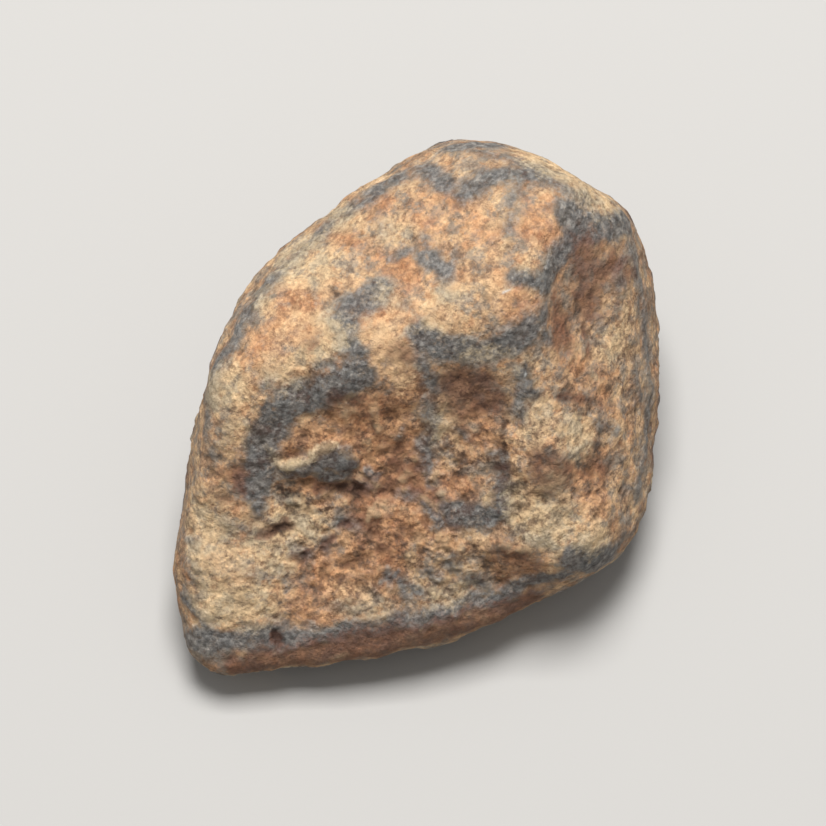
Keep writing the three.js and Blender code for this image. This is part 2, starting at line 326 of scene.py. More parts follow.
    Mark(Stain.PALE, 3.4, 0.7, ((-6.2, 8.4), (-5.4, 7.6))),
    Mark(Stain.PALE, 1.6, 0.75, ((-7.3, 2.5), (-6.6, 2.1))),
    Mark(Stain.PALE, 1.9, 0.9, ((-10.5, 1.1), (-9.7, 1.3))),
    Mark(Stain.PALE, 1.2, 0.7, ((-8.2, 6.1), (-7.7, 5.7))),
    Mark(Stain.PALE, 3.0, 0.75, ((9.7, 11.6), (9.1, 12.0), (6.7, 13.4))),
    Mark(Stain.PALE, 2.4, 0.8, ((-10.9, -7.6), (-9.9, -7.9))),
    Mark(Stain.PALE, 3.0, 0.85, ((-10.3, -9.9), (-8.6, -10.1))),
    Mark(Stain.PALE, 2.2, 0.75, ((-11.3, -5.5), (-10.5, -5.9))),
    Mark(Stain.PALE, 2.4, 0.75, ((-8.0, -7.0), (-7.3, -7.4))),
    Mark(Stain.PALE, 2.4, 0.75, ((-6.4, -5.4), (-5.7, -5.9))),
    # painted highlight on the lit rim of the ledge
    Mark(Stain.PALE, 0.45, 1.0, ((-7.4, -2.1), (-7.0, -2.7), (-6.5, -2.9), (-5.4, -2.3))),
    Mark(Stain.PALE, 3.0, 0.9, ((6.2, -5.0), (7.2, -5.6))),
    Mark(Stain.PALE, 1.9, 0.9, ((8.3, -1.0), (8.9, -1.7))),
    Mark(Stain.PALE, 1.9, 0.85, ((9.2, -6.3), (9.8, -6.8))),
    Mark(Stain.PALE, 1.6, 0.6, ((10.4, 3.3), (11.0, 3.9))),
    Mark(Stain.PALE, 1.6, 0.7, ((-4.4, 10.7), (-3.6, 10.1))),
    Mark(Stain.PALE, 1.6, 0.6, ((-1.1, 9.4), (-0.4, 9.7))),
    Mark(Stain.PALE, 1.4, 0.65, ((-0.9, 6.0), (-1.5, 6.4))),
    Mark(Stain.PALE, 1.3, 0.65, ((1.9, 5.5), (0.9, 5.8))),
    Mark(Stain.PALE, 1.3, 0.6, ((6.7, 8.6), (6.2, 8.0))),
    Mark(Stain.PALE, 1.0, 0.75, ((5.9, 2.7), (6.4, 2.5))),
    Mark(Stain.PALE, 1.8, 0.6, ((6.7, 0.2), (6.5, -1.4))),
    Mark(Stain.PALE, 1.6, 0.6, ((-9.7, -1.4), (-9.3, -0.6))),
    Mark(Stain.PALE, 2.2, 0.55, ((-3.3, -9.9), (-2.2, -10.2))),
    Mark(Stain.PALE, 1.4, 0.6, ((1.4, -9.6), (2.5, -9.4))),
    Mark(Stain.BROKEN, 5.0, 0.6, ((9.9, 4.9), (10.5, 0.7), (9.4, -3.0))),
    Mark(Stain.BROKEN, 9.0, 1.0, ((-4.4, -2.0), (-0.7, -3.6), (2.0, -1.4))),
    Mark(Stain.BROKEN, 8.0, 0.85, ((-4.4, -6.7), (0.4, -6.7), (3.6, -5.7))),
    Mark(Stain.BROKEN, 4.0, 0.7, ((3.3, 1.0), (5.7, -2.0))),
    Mark(Stain.BROKEN, 4.0, 0.6, ((1.4, -8.6), (6.2, -7.8))),
    # this rim stroke is partly crust and partly painted shade where the rim turns from the light
    Mark(Stain.CRUST, 1.7, 0.72, ((-10.7, 1.0), (-9.5, 3.9), (-7.0, 7.6), (-3.9, 10.5), (-0.4, 12.6))),
    Mark(Stain.CRUST, 0.8, 0.5, ((-12.0, -9.4), (-12.2, -7.8))),
    Mark(Stain.PALE, 1.6, 0.8, ((-6.0, 3.3), (-4.4, 3.8))),
    Mark(Stain.PALE, 1.5, 0.75, ((-1.1, 3.6), (-0.5, 1.7))),
    Mark(Stain.PALE, 1.4, 0.75, ((1.4, 6.0), (3.0, 6.8), (4.6, 6.4))),
    Mark(Stain.PALE, 1.2, 0.75, ((-6.8, 4.4), (-6.0, 5.0))),
    Mark(Stain.PALE, 1.4, 0.75, ((-2.0, 4.4), (-0.7, 4.9))),
    Mark(Stain.PALE, 1.2, 0.7, ((3.0, 3.3), (4.6, 3.2))),
    Mark(Stain.PALE, 1.2, 0.7, ((2.0, 0.7), (1.4, -0.9))),
    Mark(Stain.PALE, 0.6, 1.5, ((0.9, 4.8), (1.7, 4.7))),
    Mark(Stain.METAL, 0.2, 1.1, ((6.0, 2.0), (6.1, 1.6))),
    Mark(Stain.METAL, 0.16, 1.2, ((9.1, 10.6), (9.2, 10.5))),
    Mark(Stain.METAL, 0.18, 1.2, ((-6.8, 0.5), (-6.6, 0.6))),
    Mark(Stain.METAL, 0.16, 1.2, ((0.5, 2.0), (0.6, 2.0))),
    Mark(Stain.METAL, 0.14, 1.2, ((5.1, 6.5), (5.2, 6.5))),
    Mark(Stain.CRUST, 1.6, 0.62, ((10.7, 10.5), (11.9, 7.6), (12.3, 3.9), (12.4, -0.4), (12.0, -4.1))),
    Mark(Stain.CRUST, 1.2, 0.62, ((1.7, 13.8), (4.6, 13.6), (7.5, 12.3), (10.2, 10.7))),
    Mark(Stain.UMBER_AND_SHADE, 1.5, 1.2, ((-9.2, -13.3), (-6.0, -12.9), (-1.7, -12.3), (2.0, -11.4), (6.2, -10.0))),
    Mark(
        Stain.CRUST, 1.2, 1.0,
        ((-11.7, -11.8), (-8.6, -12.0), (-6.0, -11.9), (-2.8, -11.5), (0.9, -10.7), (4.6, -9.7), (7.8, -8.5)),
    ),
    # the umber strokes here that lie in the stone (negative lift) are painted shade in cracks, in dips and
    # under ledges; the raised umber knob is the stone's own red-brown
    Mark(Stain.UMBER_AND_SHADE, 1.0, 1.0, ((6.9, -3.4), (7.4, -3.7)), 0.12),
    Mark(Stain.UMBER_AND_SHADE, 0.35, 1.3, ((6.2, -4.3), (7.0, -4.6), (7.8, -4.5)), -0.1),
    Mark(Stain.UMBER_AND_SHADE, 0.35, 1.4, ((4.3, -2.9), (4.6, -3.0)), -0.14),
    Mark(Stain.CRUST, 0.6, 1.2, ((5.9, 2.5), (6.1, 1.9), (6.0, 1.0)), 0.06),
    Mark(Stain.UMBER_AND_SHADE, 0.3, 1.2, ((3.0, 1.0), (3.7, 0.5), (4.1, 0.1)), -0.08),
    Mark(Stain.UMBER_AND_SHADE, 0.3, 1.2, ((7.8, 0.7), (8.6, 0.9), (9.3, 0.6)), -0.08),
    Mark(Stain.UMBER_AND_SHADE, 0.3, 1.1, ((9.1, 4.4), (9.4, 3.6), (9.2, 2.8)), -0.08),
    Mark(Stain.CRUST, 0.9, 1.2, ((-5.4, -2.6), (-4.4, -2.6), (-3.4, -2.6)), 0.1),
    Mark(Stain.CRUST, 0.9, 1.1, ((-4.7, -3.0), (-4.2, -3.3)), 0.1),
    # painted highlight on the ledge's lit rim, raised a little
    Mark(
        Stain.PALE, 0.3, 1.6,
        ((-7.5, -1.8), (-7.3, -2.5), (-6.9, -2.8), (-6.2, -2.5), (-5.7, -2.3), (-5.0, -2.1), (-4.2, -1.9)),
        0.12,
    ),
    Mark(Stain.RUST, 0.6, 1.2, ((-6.0, -3.7), (-5.4, -3.6)), -0.05),
    # painted shadow under the crust ledge
    Mark(Stain.UMBER_AND_SHADE, 0.7, 1.1, ((-4.8, -4.0), (-3.6, -3.9), (-2.9, -4.3)), -0.06),
    Mark(Stain.CRUST, 0.7, 1.0, ((-2.2, -3.2), (-2.0, -3.4)), 0.04),
    Mark(Stain.CRUST, 0.8, 0.8, ((-3.0, -3.8), (-2.3, -4.2))),
    # painted shade in a crack
    Mark(Stain.UMBER_AND_SHADE, 0.3, 1.4, ((-8.2, -6.6), (-7.6, -6.3), (-6.6, -5.8)), -0.14),
    # painted shadow under the overhang of the crust band
    Mark(Stain.UMBER_AND_SHADE, 0.5, 1.1, ((-4.1, 0.8), (-3.2, 0.6)), -0.07),
    Mark(Stain.UMBER_AND_SHADE, 0.4, 1.1, ((-3.6, -5.9), (-2.9, -5.6)), -0.08),
    Mark(Stain.UMBER_AND_SHADE, 0.4, 1.1, ((-4.8, -7.2), (-4.4, -6.5)), -0.08),
    Mark(Stain.UMBER_AND_SHADE, 0.35, 1.1, ((-6.2, -7.8), (-5.8, -7.5)), -0.08),
    Mark(Stain.UMBER_AND_SHADE, 0.5, 1.0, ((-1.9, -7.3), (-1.4, -7.4)), -0.08),
    Mark(Stain.UMBER_AND_SHADE, 0.35, 1.0, ((-3.6, -7.8), (-3.2, -7.7)), -0.07),
    Mark(Stain.CRUST, 0.6, 1.0, ((-1.7, -8.9), (-0.9, -8.5)), -0.08),
    Mark(Stain.UMBER_AND_SHADE, 0.4, 1.4, ((-7.4, -11.7), (-7.3, -12.1)), -0.2),
    Mark(Stain.CRUST, 0.9, 0.9, ((-0.4, -4.3), (0.6, -4.9), (1.2, -5.8))),
)


@dataclass(frozen=True)
class Viewpoint:
    """Where the stone is seen from, and how much of it fits the picture.

    Attributes:
        azimuth: Turn of the eye around the stone, in degrees, 0 in front.
        elevation: Height of the eye over the floor, in degrees.
        distance: From the eye to the middle of the view, in millimetres.
        frame_width: Width of the picture at the middle of the view, in millimetres.
        middle: The point of the stone in the middle of the picture, in millimetres.
        sensor: Width of the camera's sensor, in millimetres.
    """

    azimuth: float = -50.0
    elevation: float = 68.0
    distance: float = 250.0
    frame_width: float = 43.8
    middle: Place = (0.16, 0.43, 8.91)
    sensor: float = 36.0

    @property
    def right(self) -> Vector:
        """The direction that points right in the picture."""
        turn = math.radians(self.azimuth)
        return Vector((math.cos(turn), math.sin(turn), 0.0))

    @property
    def back(self) -> Vector:
        """The direction from the stone to the eye.

        Returns:
            A unit vector.
        """
        rise = math.radians(self.elevation)
        flat = self.right.cross(Vector((0.0, 0.0, 1.0)))
        return flat * math.cos(rise) + Vector((0.0, 0.0, math.sin(rise)))

    @property
    def up(self) -> Vector:
        """The direction that points up in the picture."""
        return self.back.cross(self.right)

    @property
    def aim(self) -> Vector:
        """The middle of the view, in metres."""
        return Vector(self.middle) * MM

    @property
    def eye(self) -> Vector:
        """The eye's own place, in metres."""
        return self.aim + self.back * self.distance * MM

    def sight(self, point: Point) -> Vector:
        """The direction from the eye through a point of the picture.

        Args:
            point: Millimetres right of and above the middle of the view.

        Returns:
            A unit vector.
        """
        target = self.aim + (self.right * point[0] + self.up * point[1]) * MM
        return (target - self.eye).normalized()

    def add_camera(self) -> None:
        """Adds the camera at the eye and makes it the scene's own."""
        bpy.ops.object.camera_add(location=self.eye)
        camera = bpy.context.object
        camera.rotation_euler = (-self.back).to_track_quat("-Z", "Y").to_euler()
        camera.data.sensor_width = self.sensor
        camera.data.lens = self.sensor * self.distance / self.frame_width
        camera.data.clip_start = MM
        bpy.context.scene.camera = camera


@dataclass(frozen=True)
class StoneFinish:
    """Colours of the stone's weathered skin, and of the shade and highlights painted into it."""

    dun: Colour = paint(112, 90, 70)
    deep_tan: Colour = paint(146, 116, 90)
    tan: Colour = paint(182, 149, 113)
    light_tan: Colour = paint(210, 180, 142)
    rust: Colour = paint(152, 97, 60)
    light_rust: Colour = paint(190, 138, 96)
    # dark red-brown: the stone's own brown in places, and painted shade in hollows, cracks and under ledges
    umber_and_shade: Colour = paint(96, 62, 46)
    crust: Colour = paint(91, 91, 90)
    dark_crust: Colour = paint(57, 56, 56)
    light_crust: Colour = paint(124, 122, 118)
    ash: Colour = paint(128, 120, 109)
    dusk: Colour = paint(98, 80, 68)
    metal: Colour = paint(214, 214, 210)
    # pale: pale dust, the painted highlight on lit rims, and the lighter raised bare points
    pale: Colour = paint(208, 184, 144)
    # dark brown: painted shade multiplied into the sunk points, and also the random dark flecks and seams
    pit_shade_and_dark_flecks: Colour = paint(70, 46, 34)
    roughness: float = 0.88
    crust_roughness: float = 0.62
    shine: float = 0.35


@dataclass(frozen=True)
class Relief:
    """Sizes of the stone's relief, in millimetres, and the levels between which its forms set in.

    Attributes:
        swell_size: Size of the soft swells.
        swell_height: Height of the soft swells.
        grit_size: Size of the grit.
        grit_height: Height of the grit.
        pit_size: Distance between pits.
        pit_depth: Depth of the pits.
        pit_levels: Parts of that distance at a pit's rim and at its floor.
        patch_size: Size of the patches that the pits gather in.
        patch_shift: Shift of the noise that places those patches.
        patch_levels: Levels of that noise where pits begin and where they are full.
        crumb_size: Size of the crumbs where the stone is broken.
        crumb_height: Height of those crumbs.
        crust_height: Height of the crust over the bare stone.
        crust_levels: Strengths of the crust at its foot and at its top.
        fade_low: Height over the floor where the relief begins.
        fade_high: Height over the floor where the relief is full.
        full_height: Height that the skin takes as fully raised.
    """

    swell_size: float = 1.9
    swell_height: float = 0.12
    grit_size: float = 0.5
    grit_height: float = 0.04
    pit_size: float = 0.9
    pit_depth: float = 0.13
    pit_levels: Levels = (0.42, 0.05)
    patch_size: float = 2.4
    patch_shift: Place = (3.0, 9.0, 1.0)
    patch_levels: Levels = (-0.15, 0.25)
    crumb_size: float = 0.9
    crumb_height: float = 0.16
    crust_height: float = 0.07
    crust_levels: Levels = (0.35, 0.65)
    fade_low: float = 0.05
    fade_high: float = 0.7
    full_height: float = 0.2


@dataclass(frozen=True)
class Wander:
    """How far chance shifts the strokes, in millimetres.

    Attributes:
        coarse_size: Size of the coarse bends.
        coarse_shift: How far the coarse bends reach.
        fine_size: Size of the fine bends.
        fine_shift: How far the fine bends reach.
    """

    coarse_size: float = 1.5
    coarse_shift: float = 0.36
    fine_size: float = 0.55
    fine_shift: float = 0.28


class NodeSheet:
    """A shader node tree that is being laid out."""

    def __init__(self, tree: bpy.types.NodeTree) -> None:
        """Starts on a tree, which is emptied."""
        self.tree = tree
        tree.nodes.clear()

    def add(self, kind: str, inputs: dict[Any, Any] | None = None, **settings: Any) -> bpy.types.Node:
        """Adds a node.

        Args:
            kind: The node's type name, without its ShaderNode prefix unless it has another.
            inputs: Values or sockets for the node's inputs, by name or number.
            settings: Values for the node's own properties.

        Returns:
            The node.
        """
        name = kind if kind.startswith("NodeGroup") else "ShaderNode" + kind
        node = self.tree.nodes.new(name)
        for key, value in settings.items():
            setattr(node, key, value)
        for key, value in (inputs or {}).items():
            if isinstance(value, bpy.types.NodeSocket):
                self.tree.links.new(value, node.inputs[key])
            else:
                node.inputs[key].default_value = value
        return node

    def math(self, operation: str, first: Any, second: Any = 0.0, third: Any = 0.0) -> bpy.types.NodeSocket:
        """Adds a Math node and gives its result."""
        return self.add("Math", {0: first, 1: second, 2: third}, operation=operation).outputs[0]

    def blend(self, share: Any, under: Any, over: Any, mode: str = "MIX") -> bpy.types.NodeSocket:
        """Lays one colour over another.

        Args:
            share: How much of the upper colour shows, as a value or a socket.
            under: The lower colour, as a value or a socket.
            over: The upper colour, as a value or a socket.
            mode: Blender's name for the way that they blend.

        Returns:
            The blended colour.
        """
        node = self.add("Mix", {0: share, 6: under, 7: over}, data_type="RGBA", blend_type=mode)
        return node.outputs[2]

    def range(self, value: Any, low: float, high: float, start: float = 0.0, end: float = 1.0) -> Any:
        """Adds a smooth Map Range node and gives its result.

        Args:
            value: The value to map.
            low: The value that gives the start.
            high: The value that gives the end.
            start: The result at the low value.
            end: The result at the high value.

        Returns:
            The result's socket.
        """
        inputs = {"Value": value, "From Min": low, "From Max": high, "To Min": start, "To Max": end}
        return self.add("MapRange", inputs, interpolation_type="SMOOTHSTEP").outputs[0]

    def grain(self, place: Any, size: float, detail: float = 4.0, rough: float = 0.6) -> Any:
        """Adds a noise of a size in millimetres and gives its value."""
        inputs = {"Vector": place, "Scale": 1.0 / size, "Detail": detail, "Roughness": rough}
        return self.add("TexNoise", inputs).outputs[0]

    def cells(self, place: Any, size: float) -> bpy.types.NodeSocket:
        """Adds smooth cells of a size in millimetres and gives the distance from their middles."""
        inputs = {"Vector": place, "Scale": 1.0 / size}
        return self.add("TexVoronoi", inputs, feature="SMOOTH_F1").outputs["Distance"]

    def frayed_place(self, place: Any, size: float, shift: float) -> bpy.types.NodeSocket:
        """Shifts a place by chance.

        Args:
            place: The place, in millimetres.
            size: Size of the noise that shifts it.
            shift: How far it is shifted at most.

        Returns:
            The shifted place.
        """
        chance = self.add("TexNoise", {"Vector": place, "Scale": 1.0 / size, "Detail": 2.0}).outputs["Color"]
        centred = self.add("VectorMath", {0: chance, 1: (0.5, 0.5, 0.5)}, operation="SUBTRACT").outputs[0]
        inputs = {0: centred, 1: (2.0 * shift,) * 3, 2: place}
        return self.add("VectorMath", inputs, operation="MULTIPLY_ADD").outputs[0]

    def ramp(self, value: Any, stops: list[tuple[float, Colour]]) -> bpy.types.NodeSocket:
        """Adds a colour ramp and gives its colour.

        Args:
            value: The value to colour.
            stops: Places along the ramp and their colours, in order.

        Returns:
            The colour's socket.
        """
        node = self.add("ValToRGB", {0: value})
        elements = node.color_ramp.elements
        while len(elements) < len(stops):
            elements.new(1.0)
        for element, (place, colour) in zip(elements, stops):
            element.position = place
            element.color = colour
        return node.outputs[0]


def frayed_edge() -> bpy.types.NodeTree:
    """Builds the group that gives a soft stain a ragged, grainy edge.

    Returns:
        The group, which takes the stain's strength, a place in millimetres, the edge's softness and its
        fraying, and puts out a mask.
    """
    tree = bpy.data.node_groups.new("frayed_edge", "ShaderNodeTree")
    tree.interface.new_socket("Stain", in_out="INPUT", socket_type="NodeSocketFloat")
    tree.interface.new_socket("Place", in_out="INPUT", socket_type="NodeSocketVector")
    tree.interface.new_socket("Softness", in_out="INPUT", socket_type="NodeSocketFloat")
    tree.interface.new_socket("Fraying", in_out="INPUT", socket_type="NodeSocketFloat")
    tree.interface.new_socket("Mask", in_out="OUTPUT", socket_type="NodeSocketFloat")
    sheet = NodeSheet(tree)
    given = sheet.add("NodeGroupInput").outputs
    coarse = sheet.math("SUBTRACT", sheet.grain(given["Place"], 1.1, 5.0, 0.65), 0.5)
    fine = sheet.math("SUBTRACT", sheet.grain(given["Place"], 0.4, 4.0, 0.7), 0.5)
    wander = sheet.math("MULTIPLY_ADD", coarse, 1.2, fine)
    frayed = sheet.math("MULTIPLY_ADD", wander, given["Fraying"], given["Stain"])
    low = sheet.math("SUBTRACT", 0.5, given["Softness"])
    high = sheet.math("ADD", 0.5, given["Softness"])
    inputs = {"Value": frayed, "From Min": low, "From Max": high}
    edge = sheet.add("MapRange", inputs, interpolation_type="SMOOTHSTEP").outputs[0]
    sheet.add("NodeGroupOutput", {"Mask": edge})
    return tree


class Skin:
    """The stone's weathered surface as a material."""

    def __init__(self, finish: StoneFinish) -> None:
        """Keeps the colours and builds the group that frays the stains' edges."""
        self.finish = finish
        self.fray = frayed_edge()

    def stain(self, sheet: NodeSheet, place: Any, stain: Stain) -> Any:
        """Adds the mask of one stain.

        Args:
            sheet: The material's nodes.
            place: The place on the stone, in millimetres.
            stain: Which stain.

        Returns:
            The mask's socket.
        """
        layer = LAYERS[stain]
        carried = sheet.add("Attribute", attribute_name=stain.value).outputs["Fac"]
        group = sheet.add("Group", node_tree=self.fray)
        for name, value in (("Stain", carried), ("Place", place)):
            sheet.tree.links.new(value, group.inputs[name])
        group.inputs["Softness"].default_value = layer.softness
        group.inputs["Fraying"].default_value = layer.fraying
        return group.outputs["Mask"]

    def ground(self, sheet: NodeSheet, place: Any) -> Any:
        """Adds the mottled tan under all stains.

        Args:
            sheet: The material's nodes.
            place: The place on the stone, in millimetres.

        Returns:
            The tan's colour.
        """
        look = self.finish
        mottle = sheet.grain(place, 1.6, 9.0, 0.7)
        stops = [(0.34, look.dun), (0.44, look.deep_tan), (0.54, look.tan), (0.68, look.light_tan)]
        colour = sheet.ramp(mottle, stops)
        rusty = sheet.range(sheet.grain(place, 0.9, 5.0, 0.6), 0.5, 0.64, 0.0, 0.5)
        colour = sheet.blend(rusty, colour, look.light_rust)
        shift = sheet.add("Mapping", {"Vector": place, "Location": (7.0, 3.0, 5.0)}).outputs[0]
        greyed = sheet.range(sheet.grain(shift, 0.9, 5.0, 0.66), 0.45, 0.6, 0.0, 0.75)
        colour = sheet.blend(greyed, colour, look.ash)
        shift = sheet.add("Mapping", {"Vector": place, "Location": (1.0, 6.0, 9.0)}).outputs[0]
        dusky = sheet.range(sheet.grain(shift, 0.75, 4.0, 0.62), 0.54, 0.66, 0.0, 0.6)
        return sheet.blend(dusky, colour, look.dusk)

    def material(self) -> bpy.types.Material:
        """Builds the material.

        Returns:
            The material, which reads the stone's own attributes and Object coordinates.
        """
        look = self.finish
        material = bpy.data.materials.new("weathered_stone")
        material.use_nodes = True
        sheet = NodeSheet(material.node_tree)
        here = sheet.add("TexCoord").outputs["Object"]
        place = sheet.add("Mapping", {"Vector": here, "Scale": (1 / MM,) * 3}).outputs[0]
        height = sheet.add("Attribute", attribute_name="height").outputs["Fac"]
        colour = self.ground(sheet, place)
        rust = self.stain(sheet, place, Stain.RUST)
        rust_tone = sheet.blend(sheet.range(sheet.grain(place, 0.5), 0.4, 0.6), look.rust, look.light_rust)
        colour = sheet.blend(sheet.math("MULTIPLY", rust, LAYERS[Stain.RUST].cover), colour, rust_tone)
        crust = self.stain(sheet, place, Stain.CRUST)
        crust_stops = [(0.36, look.dark_crust), (0.5, look.crust), (0.64, look.light_crust)]
        crust_tone = sheet.ramp(sheet.grain(place, 0.35, 5.0, 0.65), crust_stops)
        colour = sheet.blend(sheet.math("MULTIPLY", crust, LAYERS[Stain.CRUST].cover), colour, crust_tone)
        # pale dust, and the painted highlight on lit rims where the pale mark is strongest
        pale = self.stain(sheet, place, Stain.PALE)
        pale_carried = sheet.add("Attribute", attribute_name=Stain.PALE.value).outputs["Fac"]
        pale_share = sheet.range(pale_carried, 0.9, 1.4, LAYERS[Stain.PALE].cover, THICK_PALE_COVER)
        colour = sheet.blend(sheet.math("MULTIPLY", pale, pale_share), colour, look.pale)
        # the umber mark: partly the stone's own dark brown, partly painted shade in hollows, cracks and under
        # ledges
        umber_and_shade = self.stain(sheet, place, Stain.UMBER_AND_SHADE)
        colour = sheet.blend(sheet.math("MULTIPLY", umber_and_shade, LAYERS[Stain.UMBER_AND_SHADE].cover), colour, look.umber_and_shade)
        colour = self.speckle(sheet, place, colour)
        # painted shade: darkens and warms the sunk points, in the pits and hollows
        painted_pit_shade = sheet.range(height, -0.12, -0.8, 0.0, 0.5)
        colour = sheet.blend(painted_pit_shade, colour, look.pit_shade_and_dark_flecks, "MULTIPLY")
        bare = sheet.math("SUBTRACT", 1.0, crust)
        raised = sheet.math("MULTIPLY", sheet.range(height, 0.2, 0.9, 0.0, 0.3), bare)
        colour = sheet.blend(raised, colour, look.pale)
        metal_carried = sheet.add("Attribute", attribute_name=Stain.METAL.value).outputs["Fac"]
        metal = sheet.range(metal_carried, 0.3, 0.7)
        colour = sheet.blend(metal, colour, look.metal)
        roughness = sheet.range(crust, 0.0, 1.0, look.roughness, look.crust_roughness)
        inputs = {"Base Color": colour, "Roughness": roughness, "Metallic": metal}
        shader = sheet.add("BsdfPrincipled", inputs)
        shader.inputs["Specular IOR Level"].default_value = look.shine
        sheet.tree.links.new(self.bump(sheet, place), shader.inputs["Normal"])
        sheet.add("OutputMaterial", {"Surface": shader.outputs[0]})
        return material

    def speckle(self, sheet: NodeSheet, place: Any, colour: Any) -> Any:
        """Adds the fine grains, light and dark.

        Args:
            sheet: The material's nodes.
            place: The place on the stone, in millimetres.
            colour: The colour under the grains.

        Returns:
            The colour with its grains.
        """
        for size, low, high in ((0.55, 0.86, 1.14), (0.2, 0.82, 1.16)):
            dust = sheet.range(sheet.grain(place, size, 3.0, 0.65), 0.32, 0.68, low, high)
            grey = sheet.add("CombineColor", {0: dust, 1: dust, 2: dust}).outputs[0]
            colour = sheet.blend(1.0, colour, grey, "MULTIPLY")
        shift = sheet.add("Mapping", {"Vector": place, "Location": (2.0, 8.0, 4.0)}).outputs[0]
        dark = sheet.range(sheet.grain(shift, 0.5, 4.0, 0.65), 0.58, 0.72, 0.0, 0.6)
        colour = sheet.blend(dark, colour, self.finish.pit_shade_and_dark_flecks)
        broken = sheet.add("Attribute", attribute_name=Stain.BROKEN.value).outputs["Fac"]
        seams = sheet.range(sheet.grain(place, 0.8, 5.0, 0.65), 0.52, 0.38, 0.0, 0.6)
        return sheet.blend(sheet.math("MULTIPLY", broken, seams), colour, self.finish.pit_shade_and_dark_flecks)

    def bump(self, sheet: NodeSheet, place: Any) -> Any:
        """Adds the finest roughness.

        Args:
            sheet: The material's nodes.
            place: The place on the stone, in millimetres.

        Returns:
            The bumped normal.
        """
        fine = sheet.grain(place, 0.6, 7.0, 0.66)
        crumbs = sheet.cells(sheet.frayed_place(place, 0.4, 0.16), 0.4)
        height = sheet.math("MULTIPLY_ADD", crumbs, -0.45, fine)
        inputs = {"Strength": 1.0, "Distance": 0.32 * MM, "Height": height}
        return sheet.add("Bump", inputs).outputs[0]


